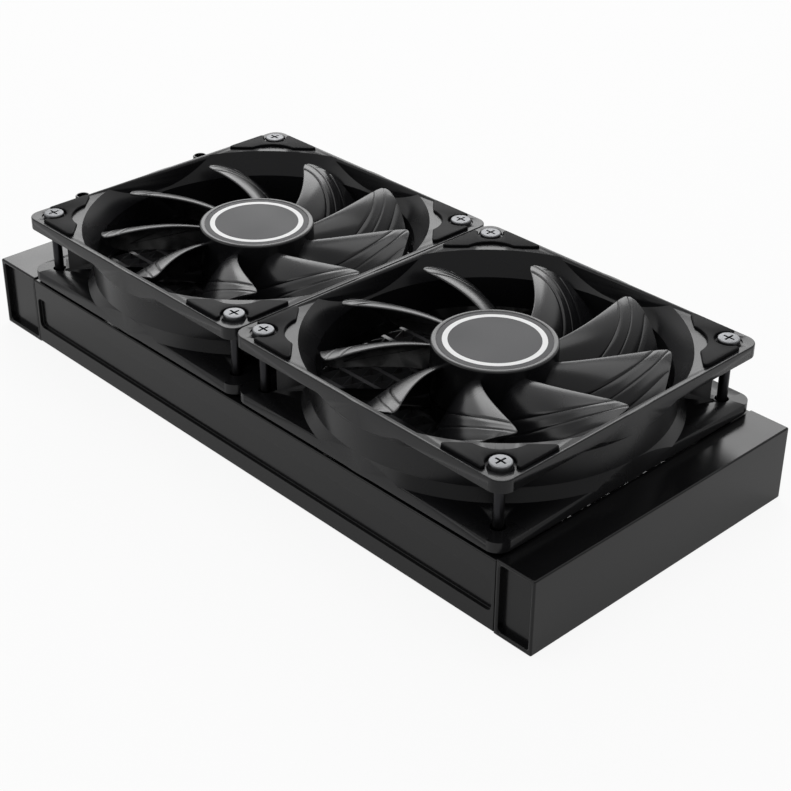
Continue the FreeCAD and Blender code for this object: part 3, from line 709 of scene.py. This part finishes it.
@dataclass
class FanScrews:
    """Pan-head screws with a cross recess, four to a fan."""

    layout: FanLayout
    head_radius: float = 3.6
    head_height: float = 2.0
    dome: float = 0.45
    seat_depth: float = 0.6
    shank_radius: float = 1.75
    arm_length: float = 4.1
    arm_width: float = 0.75
    recess_depth: float = 1.0
    thread_pitch: float = 0.8
    thread_depth: float = 0.14
    thread_start: float = 0.4
    thread_length: float = 5.5
    tip_taper: float = 0.3
    head_steps: int = 56
    shank_steps: int = 28

    def head(self) -> bpy.types.Mesh:
        """Head with a rounded rim and a cross cut into its top."""
        high = self.head_height
        profile = [(0.0, 0.0), (self.head_radius, 0.0)]
        rim = (self.head_radius - self.dome, high - self.dome)
        profile += rounded_corner(rim, 0, self.dome)
        profile += [(0.0, high)]
        head = bpy.data.objects.new("head", mesh_from(
            "head", *lathe(profile, (0.0, 0.0), self.head_steps), 40))
        cutter = bpy.data.meshes.new("cross")
        work = bmesh.new()
        for sides in ((self.arm_length, self.arm_width), (self.arm_width, self.arm_length)):
            made = bmesh.ops.create_cube(work, size=1.0)
            bmesh.ops.scale(work, verts=made["verts"], vec=(
                sides[0] * MM, sides[1] * MM, 2 * self.recess_depth * MM))
            bmesh.ops.translate(work, verts=made["verts"], vec=(0, 0, high * MM))
        work.to_mesh(cutter)
        work.free()
        tool = bpy.data.objects.new("cross", cutter)
        for item in (head, tool):
            bpy.context.scene.collection.objects.link(item)
        modifier = head.modifiers.new("recess", "BOOLEAN")
        modifier.operation = "DIFFERENCE"
        modifier.solver = "EXACT"
        modifier.use_self = True
        modifier.object = tool
        graph = bpy.context.evaluated_depsgraph_get()
        mesh = bpy.data.meshes.new_from_object(head.evaluated_get(graph))
        bpy.data.objects.remove(head)
        bpy.data.objects.remove(tool)
        return mesh

    def shank(self, length: float) -> bpy.types.Mesh:
        """Plain shank whose lower end carries thread ridges.

        Args:
            length: length under the head in millimetres.

        Returns:
            Mesh of the shank, with the head's seat at height 0.
        """
        profile = [(0.0, -length), (self.shank_radius - self.tip_taper, -length)]
        height = -length + self.thread_start
        while height < -length + self.thread_length:
            profile.append((self.shank_radius - self.thread_depth, height))
            profile.append((self.shank_radius, height + self.thread_pitch / 2))
            height += self.thread_pitch
        profile += [(self.shank_radius, height), (self.shank_radius, 0.0), (0.0, 0.0)]
        return mesh_from("shank", *lathe(profile, (0.0, 0.0), self.shank_steps), 30)

    def build(self) -> None:
        """Set the heads and shanks on all the fan corners."""
        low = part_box("left_fan_screws")[0]
        length = self.layout.top - self.seat_depth - low[2] / MM
        pieces = (("screw_heads", self.head(), SCREW_STEEL,
                   ("left_fan_screws", "right_fan_screws")),
                  ("screw_shanks", self.shank(length), SHANK_STEEL_PAINTED_SHADE, ()))
        for name, mesh, finish, replaced in pieces:
            mesh.materials.clear()
            repeat = Repeater(name, mesh, finish)
            repeat.add_input("Spacing", "NodeSocketFloat", self.layout.screw_spacing * MM)
            repeat.add_input("Start", "NodeSocketVector", (
                self.layout.centres["left"] * MM, 0.0,
                (self.layout.top - self.seat_depth) * MM))
            pitch = self.layout.centres["right"] - self.layout.centres["left"]
            repeat.add_input("Pitch", "NodeSocketVector", (pitch * MM, 0.0, 0.0))
            entry = add_node(repeat.tree, "NodeGroupInput")
            corners = add_node(repeat.tree, "GeometryNodeMeshGrid", inputs={
                "Size X": entry.outputs["Spacing"], "Size Y": entry.outputs["Spacing"],
                "Vertices X": 2, "Vertices Y": 2})
            fans = add_node(repeat.tree, "GeometryNodeMeshLine", inputs={
                "Count": 2, "Start Location": entry.outputs["Start"],
                "Offset": entry.outputs["Pitch"]})
            spread = add_node(repeat.tree, "GeometryNodeInstanceOnPoints", inputs={
                "Points": fans.outputs["Mesh"], "Instance": corners.outputs["Mesh"]})
            spots = add_node(repeat.tree, "GeometryNodeRealizeInstances", inputs={
                "Geometry": spread.outputs["Instances"]})
            result = repeat.finish_tree(spots.outputs["Geometry"], entry)
            publish(name, result, finish, Body.COOLER, replaced)


@dataclass
class CornerPads:
    """Soft boomerang pads on the fans' upper corners, one outline turned four times."""

    layout: FanLayout
    half: float = 59.9
    edge: float = 1.5
    span: float = 27.9
    knee: float = 20.1
    width: float = 8.9
    hollow: float = 12.2
    room: float = 4.6
    end: float = 1.9
    rise: float = 1.0
    soft: float = 0.45
    corner: float = 1.6
    clear_turn: float = 25.0
    edge_share: float = 0.45
    arc_steps: int = 14
    corner_steps: int = 6

    def outline(self) -> list[tuple[float, float]]:
        """Outline of the pad in the +X +Y corner, before its corners are rounded."""
        edge, tip = self.half - self.edge, self.half - self.span
        waist, shoulder = self.half - self.knee, self.half - self.width
        hole = self.layout.screw_spacing / 2
        cut = hole - self.end
        points = [(tip, edge), (waist, shoulder)]
        points += self.bend((waist, shoulder), self.half - self.hollow)
        points += [(shoulder, waist), (edge, tip), (edge, cut)]
        start = math.degrees(math.atan2(-self.end, math.sqrt(self.room ** 2 - self.end ** 2)))
        for step in range(self.arc_steps + 1):
            angle = math.radians(start - (270 + 2 * start) * step / self.arc_steps)
            points.append((hole + self.room * math.cos(angle),
                           hole + self.room * math.sin(angle)))
        return points + [(cut, edge)]

    def bend(self, first: tuple[float, float], middle: float) -> list[tuple[float, float]]:
        """Points of the shallow arc between the two shoulders, mirrored about the diagonal.

        Args:
            first: shoulder where the arc starts.
            middle: x and y of the arc's middle.

        Returns:
            Points between the shoulders, without the shoulders.
        """
        reach = abs(first[0] - first[1]) / math.sqrt(2)
        rise = middle * math.sqrt(2) - sum(first) / math.sqrt(2)
        radius = (reach * reach + rise * rise) / (2 * rise)
        centre = (middle * math.sqrt(2) - radius) / math.sqrt(2)
        spread = math.atan2(reach, radius - rise)
        turns = [math.radians(45) + spread * (1 - 2 * step / self.arc_steps)
                 for step in range(1, self.arc_steps)]
        return [(centre + radius * math.cos(turn), centre + radius * math.sin(turn))
                for turn in turns]

    def rounded_outline(self) -> list[Vector]:
        """Outline with every clear corner replaced by a small arc."""
        raw = [Vector(point) for point in self.outline()]
        result: list[Vector] = []
        for number, spot in enumerate(raw):
            before = raw[number - 1] - spot
            after = raw[(number + 1) % len(raw)] - spot
            turn = math.pi - before.angle(after)
            if turn < math.radians(self.clear_turn):
                result.append(spot)
                continue
            reach = min(self.corner * math.tan(turn / 2), self.edge_share * before.length,
                        self.edge_share * after.length)
            start = spot + before.normalized() * reach
            stop = spot + after.normalized() * reach
            for step in range(self.corner_steps + 1):
                share = step / self.corner_steps
                result.append(start * (1 - share) ** 2 + spot * (2 * share * (1 - share))
                              + stop * share ** 2)
        return result

    def pad(self) -> bpy.types.Mesh:
        """One pad about the fan's axis, with a softly rounded upper edge."""
        ring = self.rounded_outline()
        count = len(ring)
        area = sum(ring[step - 1].cross(ring[step]) for step in range(count))
        way = 1 if area > 0 else -1
        levels = [(0.0, 0.0), (0.0, self.rise - self.soft)]
        levels += [(self.soft * (1 - math.cos(math.radians(30 * step))),
                    self.rise - self.soft * (1 - math.sin(math.radians(30 * step))))
                   for step in (1, 2, 3)]
        points: list[Vector] = []
        for inset, height in levels:
            for number, spot in enumerate(ring):
                along = (ring[(number + 1) % count] - ring[number - 1]).normalized()
                inward = Vector((-along.y, along.x)) * way
                place = spot + inward * inset
                points.append(Vector((place.x, place.y, height)) * MM)
        faces: list[tuple[int, ...]] = []
        for level in range(len(levels) - 1):
            for step in range(count):
                after = (step + 1) % count
                faces.append((level * count + step, level * count + after,
                              (level + 1) * count + after, (level + 1) * count + step))
        faces.append(tuple(range(count)))
        faces.append(tuple(range((len(levels) - 1) * count, len(levels) * count)))
        return mesh_from("pad", points, faces, 50)

    def build(self) -> None:
        """Set four pads on each fan."""
        for fan, centre in self.layout.centres.items():
            repeat = Repeater(fan + "_pads", self.pad(), PAD_RUBBER)
            mesh = repeat.turned_copies(4, (centre * MM, 0.0, self.layout.top * MM))
            publish(fan + "_corner_pads", mesh, PAD_RUBBER, Body.COOLER,
                    (fan + "_fan_top_pads",))


@dataclass
class FinCore:
    """Thin strip folded to and fro between the flat tubes."""

    tube_pitch: float = 8.75
    tube_thickness: float = 1.6
    period: float = 5.75
    sheet: float = 0.26
    play: float = 0.04
    crest: float = 0.35

    def fold(self, height: float) -> bpy.types.Mesh:
        """One fold, a V of thin sheet about its own middle.

        Args:
            height: depth of the core.

        Returns:
            Mesh of the fold.
        """
        half = (self.tube_pitch - self.tube_thickness) / 2 - self.play
        quarter = self.period / 2
        crest = self.crest / 2
        middle = [(-quarter, -half), (-quarter + crest, -half), (-crest, half),
                  (crest, half), (quarter - crest, -half), (quarter, -half)]
        points, faces = [], []
        for z in (0.0, height):
            for x, y in middle:
                inward = self.sheet if y < 0 else 0.0
                points.append(Vector((x, y + inward, z)) * MM)
            for x, y in reversed(middle):
                inward = self.sheet if y > 0 else 0.0
                points.append(Vector((x, y - inward, z)) * MM)
        count = 2 * len(middle)
        for step in range(count):
            after = (step + 1) % count
            if step in (len(middle) - 1, count - 1):
                continue
            faces.append((step, after, after + count, step + count))
        for step in range(len(middle) - 1):
            other = count - 1 - step
            faces.append((step, step + 1, other - 1, other))
            faces.append((step + count, step + 1 + count, other - 1 + count, other + count))
        mesh = bpy.data.meshes.new("fold")
        mesh.from_pydata(points, [], faces)
        work = bmesh.new()
        work.from_mesh(mesh)
        bmesh.ops.recalc_face_normals(work, faces=work.faces)
        work.to_mesh(mesh)
        work.free()
        return mesh

    def build(self) -> None:
        """Set the folds in every gap between two tubes."""
        low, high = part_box("cooling_fins")
        length, width = (high[0] - low[0]) / MM, (high[1] - low[1]) / MM
        count = round(length / self.period)
        self.period = length / count
        strips = round((width + self.tube_thickness) / self.tube_pitch)
        repeat = Repeater("folded_fins", self.fold((high[2] - low[2]) / MM), FIN_ENAMEL_PAINTED_LIGHT)
        repeat.add_input("Length", "NodeSocketFloat", (count - 1) * self.period * MM)
        repeat.add_input("Width", "NodeSocketFloat", (strips - 1) * self.tube_pitch * MM)
        repeat.add_input("Folds", "NodeSocketInt", count)
        repeat.add_input("Strips", "NodeSocketInt", strips)
        repeat.add_input("Middle", "NodeSocketVector", (
            (low[0] + high[0]) / 2, (low[1] + high[1]) / 2, low[2]))
        entry = add_node(repeat.tree, "NodeGroupInput")
        spots = add_node(repeat.tree, "GeometryNodeMeshGrid", inputs={
            "Size X": entry.outputs["Length"], "Size Y": entry.outputs["Width"],
            "Vertices X": entry.outputs["Folds"], "Vertices Y": entry.outputs["Strips"]})
        moved = add_node(repeat.tree, "GeometryNodeTransform", inputs={
            "Geometry": spots.outputs["Mesh"], "Translation": entry.outputs["Middle"]})
        mesh = repeat.finish_tree(moved.outputs["Geometry"], entry)
        publish("folded_fins", mesh, FIN_ENAMEL_PAINTED_LIGHT, Body.COOLER, ("cooling_fins",))


def true_round(mesh: bpy.types.Mesh, axes: list[tuple[float, float]]) -> None:
    """Give the facets of upright cylinders and cones the normals of the round surface.

    A facet belongs to a round surface about an axis where its corners all lie on one
    cone with the facet's own slope and its middle is hardly nearer to the axis.

    Args:
        mesh: mesh whose corner normals are set.
        axes: x and y of the axes in metres.
    """
    normals = [Vector(item.vector) for item in mesh.corner_normals]
    flat, slack, sink = 0.95, 0.06 * MM, 0.3 * MM
    for face in mesh.polygons:
        up = face.normal.z
        if abs(up) > flat:
            continue
        for x, y in axes:
            middle = face.center - Vector((x, y, 0))
            out = math.copysign(math.sqrt(1 - up * up),
                                face.normal.x * middle.x + face.normal.y * middle.y)
            spots = [mesh.vertices[number].co - Vector((x, y, 0)) for number in face.vertices]
            reach = [math.hypot(spot.x, spot.y) * out + spot.z * up for spot in spots]
            level = sum(reach) / len(reach)
            middle_reach = math.hypot(middle.x, middle.y) * out + middle.z * up
            if max(reach) - min(reach) > slack or abs(level - middle_reach) > sink:
                continue
            for loop, spot in zip(face.loop_indices, spots):
                length = math.hypot(spot.x, spot.y)
                normals[loop] = Vector((spot.x / length * out, spot.y / length * out, up))
            break
    mesh.normals_split_custom_set(normals)


@dataclass
class Shells:
    """CAD shells taken over with merged, smoothly shaded surfaces and soft edges."""

    layout: FanLayout
    crease: float = 28.0
    cap_step: float = 1.2
    panel_depth: float = 58.0
    panel_reach: float = 0.05
    panel_step: float = 0.6
    channel_edge: float = 0.15
    tank_edge: float = 0.6
    merge: float = 0.002
    coplanar: float = 0.6

    def round_axes(self, fan: str) -> list[tuple[float, float]]:
        """Axes of a fan frame's round surfaces: its duct, holes and rounded corners.

        Args:
            fan: which fan, left or right.

        Returns:
            x and y of every axis in metres.
        """
        centre = self.layout.centres[fan]
        axes = [(centre, 0.0)]
        for reach in (self.layout.screw_spacing / 2, self.layout.corner_axis):
            axes += [(centre + across * reach, along * reach)
                     for across in (-1, 1) for along in (-1, 1)]
        return [(x * MM, y * MM) for x, y in axes]

    def bring_forward(self, node: str, work: bmesh.types.BMesh) -> None:
        """Bring the sunk panels of caps and channels nearer to the outer faces.

        Args:
            node: name of the CAD node.
            work: its surface.
        """
        for vert in work.verts:
            side = math.copysign(1.0, vert.co.y)
            if node.endswith("_cap"):
                vert.co.y += side * self.cap_step * MM
            elif node.startswith("side_channel") and abs(
                    abs(vert.co.y) - self.panel_depth * MM) < self.panel_reach * MM:
                vert.co.y += side * self.panel_step * MM

    def take_over(self, node: str, finish: Finish, bevel: float = 0.0,
                  axes: list[tuple[float, float]] | None = None) -> None:
        """Copy a node's surface, soften its edges and let it stand for the node.

        Args:
            node: name of the CAD node.
            finish: finish of the piece.
            bevel: width of the softened edges in millimetres, 0 for none.
            axes: upright axes of its round surfaces, if it has large ones.
        """
        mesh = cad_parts[node].data.copy()
        mesh.materials.clear()
        work = bmesh.new()
        work.from_mesh(mesh)
        self.bring_forward(node, work)
        bmesh.ops.remove_doubles(work, verts=work.verts, dist=self.merge * MM)
        if not axes:
            bmesh.ops.dissolve_limit(work, angle_limit=math.radians(self.coplanar),
                                     verts=work.verts, edges=work.edges)
        work.to_mesh(mesh)
        work.free()
        mesh.shade_smooth()
        mesh.set_sharp_from_angle(angle=math.radians(self.crease))
        carrier = bpy.data.objects.new(node + "_copy", mesh)
        bpy.context.scene.collection.objects.link(carrier)
        if bevel > 0:
            soft = carrier.modifiers.new("soft_edges", "BEVEL")
            soft.width = bevel * MM
            soft.segments = 3
            soft.limit_method = "ANGLE"
            soft.angle_limit = math.radians(self.crease)
            soft.harden_normals = False
            soft.use_clamp_overlap = False
        weigh = carrier.modifiers.new("even_normals", "WEIGHTED_NORMAL")
        weigh.keep_sharp = True
        graph = bpy.context.evaluated_depsgraph_get()
        result = bpy.data.meshes.new_from_object(carrier.evaluated_get(graph))
        bpy.data.objects.remove(carrier)
        if axes:
            true_round(result, axes)
        publish(node + "_shell", result, finish, Body.COOLER, (node,))

    def build(self) -> None:
        """Take over the channels, tanks, caps, spigots, frames and lower pads."""
        for side in ("front", "rear"):
            self.take_over("side_channel_" + side, ENAMEL,
                           self.channel_edge)
        for tank in ("inlet_tank", "outlet_tank"):
            self.take_over(tank, ENAMEL, self.tank_edge)
            for side in ("front", "rear"):
                self.take_over("%s_%s_cap" % (tank, side), ENAMEL)
        for side in ("front", "rear"):
            self.take_over(side + "_hose_spigot", ENAMEL)
        for fan in ("left", "right"):
            self.take_over(fan + "_fan_frame", FRAME_PLASTIC,
                           axes=self.round_axes(fan))
            self.take_over(fan + "_fan_low_pads", PAD_RUBBER)


class InnerParts:
    """Finishes of the CAD nodes whose shape stays as it is."""

    FINISHES = {"flat_tubes": FIN_ENAMEL_PAINTED_LIGHT, "flow_divider": ENAMEL, "rotor_yoke": YOKE_STEEL,
                "magnet_ring": MAGNET, "shaft": SHAFT_STEEL, "bearing_sleeve": BRONZE,
                "circuit_board": BOARD, "stator_core": LAMINATION, "coils": COPPER}

    def build(self) -> None:
        """Give every remaining node its finish."""
        for name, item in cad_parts.items():
            key = name.split("_", 1)[1] if name.startswith(("left_", "right_")) else name
            finish = self.FINISHES.get(key)
            if finish is None:
                continue
            for slot in item.material_slots:
                slot.material = finish.build()
            LOG.info("%s: %s", name, finish.name)


@dataclass
class Studio:
    """White floor and backdrop, soft lamps and the camera."""

    target: tuple[float, float, float] = (65.69, -53.47, 54.0)
    azimuth: float = 47.2
    elevation: float = 31.065
    distance: float = 510.9
    focal: float = 77.42
    shift: tuple[float, float] = (0.0241, -0.0019)
    sensor: float = 36.0
    aim_height: float = 0.03
    floor_size: float = 12.0
    floor_drop: float = 0.0001
    floor_share: float = 0.9
    floor_gloss: float = 0.42
    room_light: float = 0.45
    room_from: float = -0.3
    room_to: float = 0.7
    air_light: float = 0.35

    def floor(self) -> None:
        """White floor that keeps a faint shadow."""
        half = self.floor_size / 2
        mesh = bpy.data.meshes.new("studio_floor")
        mesh.from_pydata([(-half, -half, 0), (half, -half, 0), (half, half, 0),
                          (-half, half, 0)], [], [(0, 1, 2, 3)])
        material = bpy.data.materials.new("white_paper")
        material.use_nodes = True
        tree = material.node_tree
        tree.nodes.clear()
        paper = add_node(tree, "ShaderNodeBsdfDiffuse", inputs={
            "Color": linear("#f4f4f4")})
        glow = add_node(tree, "ShaderNodeEmission", inputs={
            "Color": (1, 1, 1, 1), "Strength": 1.0})
        share = self.by_ray(tree, self.floor_share, self.floor_gloss, 0.0)
        mix = add_node(tree, "ShaderNodeMixShader", inputs={
            0: share, 1: paper.outputs[0], 2: glow.outputs[0]})
        add_node(tree, "ShaderNodeOutputMaterial", inputs={"Surface": mix.outputs[0]})
        mesh.materials.append(material)
        floor = bpy.data.objects.new("studio_floor", mesh)
        floor.location.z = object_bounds()[0][2] - self.floor_drop
        bpy.context.scene.collection.objects.link(floor)
        floor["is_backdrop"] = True

    def by_ray(self, tree: bpy.types.NodeTree, seen: float,
               mirrored: float | bpy.types.NodeSocket, lit: float) -> bpy.types.NodeSocket:
        """Value that depends on what a ray is for.

        Args:
            tree: node tree of the backdrop.
            seen: value for the camera and through glass.
            mirrored: value in reflections.
            lit: value for rays that carry diffuse light.

        Returns:
            Socket with the value.
        """
        path = add_node(tree, "ShaderNodeLightPath")
        direct = add_node(tree, "ShaderNodeMath", {"operation": "MAXIMUM"}, {
            0: path.outputs["Is Camera Ray"], 1: path.outputs["Is Transmission Ray"]})
        other = add_node(tree, "ShaderNodeMix", inputs={
            0: path.outputs["Is Glossy Ray"], 2: lit, 3: mirrored})
        both = add_node(tree, "ShaderNodeMix", inputs={
            0: direct.outputs[0], 2: other.outputs[0], 3: seen})
        return both.outputs[0]

    def world(self) -> None:
        """White backdrop that lights softly and mirrors dimmer behind the camera."""
        world = bpy.data.worlds.new("studio_air")
        world.use_nodes = True
        tree = world.node_tree
        tree.nodes.clear()
        way = add_node(tree, "ShaderNodeTexCoord").outputs["Generated"]
        turn = math.radians(self.azimuth)
        facing = add_node(tree, "ShaderNodeVectorMath", {"operation": "DOT_PRODUCT"}, {
            0: way, 1: (-math.sin(turn), math.cos(turn), 0.0)})
        room = add_node(tree, "ShaderNodeMapRange", {"interpolation_type": "SMOOTHSTEP"}, {
            "Value": facing.outputs["Value"], "From Min": self.room_from,
            "From Max": self.room_to, "To Min": self.room_light, "To Max": 1.0})
        light = self.by_ray(tree, 1.0, room.outputs["Result"], self.air_light)
        air = add_node(tree, "ShaderNodeBackground", inputs={
            "Color": (1, 1, 1, 1), "Strength": light})
        add_node(tree, "ShaderNodeOutputWorld", inputs={"Surface": air.outputs[0]})
        bpy.context.scene.world = world

    def lamp(self, name: str, place: tuple[float, float, float], size: tuple[float, float],
             power: float) -> None:
        """Soft lamp that points at the middle of the object.

        Args:
            name: name of the lamp.
            place: where it hangs, in metres.
            size: its two sides, in metres.
            power: its power in watts.
        """
        data = bpy.data.lights.new(name, "AREA")
        data.shape = "RECTANGLE"
        data.size, data.size_y = size
        data.energy = power
        lamp = bpy.data.objects.new(name, data)
        lamp.location = place
        aim = Vector((0.0, 0.0, self.aim_height)) - Vector(place)
        lamp.rotation_euler = aim.to_track_quat("-Z", "Y").to_euler()
        bpy.context.scene.collection.objects.link(lamp)

    def camera(self) -> None:
        """Camera at the fitted viewing angle and distance."""
        data = bpy.data.cameras.new("studio_camera")
        data.lens = self.focal
        data.sensor_width = self.sensor
        data.shift_x, data.shift_y = self.shift
        data.clip_start = 0.01
        camera = bpy.data.objects.new("studio_camera", data)
        turn, lift = math.radians(self.azimuth), math.radians(self.elevation)
        back = Vector((math.sin(turn) * math.cos(lift), -math.cos(turn) * math.cos(lift),
                       math.sin(lift)))
        camera.location = (Vector(self.target) + back * self.distance) * MM
        camera.rotation_euler = (-back).to_track_quat("-Z", "Y").to_euler()
        bpy.context.scene.collection.objects.link(camera)
        bpy.context.scene.camera = camera

    def build(self) -> None:
        """Set up the whole studio."""
        bpy.context.scene.view_settings.view_transform = "Standard"
        self.floor()
        self.world()
        self.lamp("sky_lamp", (0.0, 0.1, 1.1), (1.0, 0.8), 4.5)
        self.lamp("far_lamp", (-0.9, 0.9, 0.75), (1.1, 0.6), 6.5)
        self.lamp("side_lamp", (-0.5, -1.0, 0.6), (0.7, 0.5), 1.5)
        self.camera()


def main() -> None:
    """Build every piece, then the studio."""
    logging.basicConfig(level=logging.INFO, format="%(name)s %(message)s")
    layout = FanLayout()
    FinCore().build()
    for fan, centre in layout.centres.items():
        Impeller(fan, centre, layout.base).build()
    FanScrews(layout).build()
    CornerPads(layout).build()
    Shells(layout).build()
    InnerParts().build()
    Studio().build()


if __name__ == "__main__":
    main()
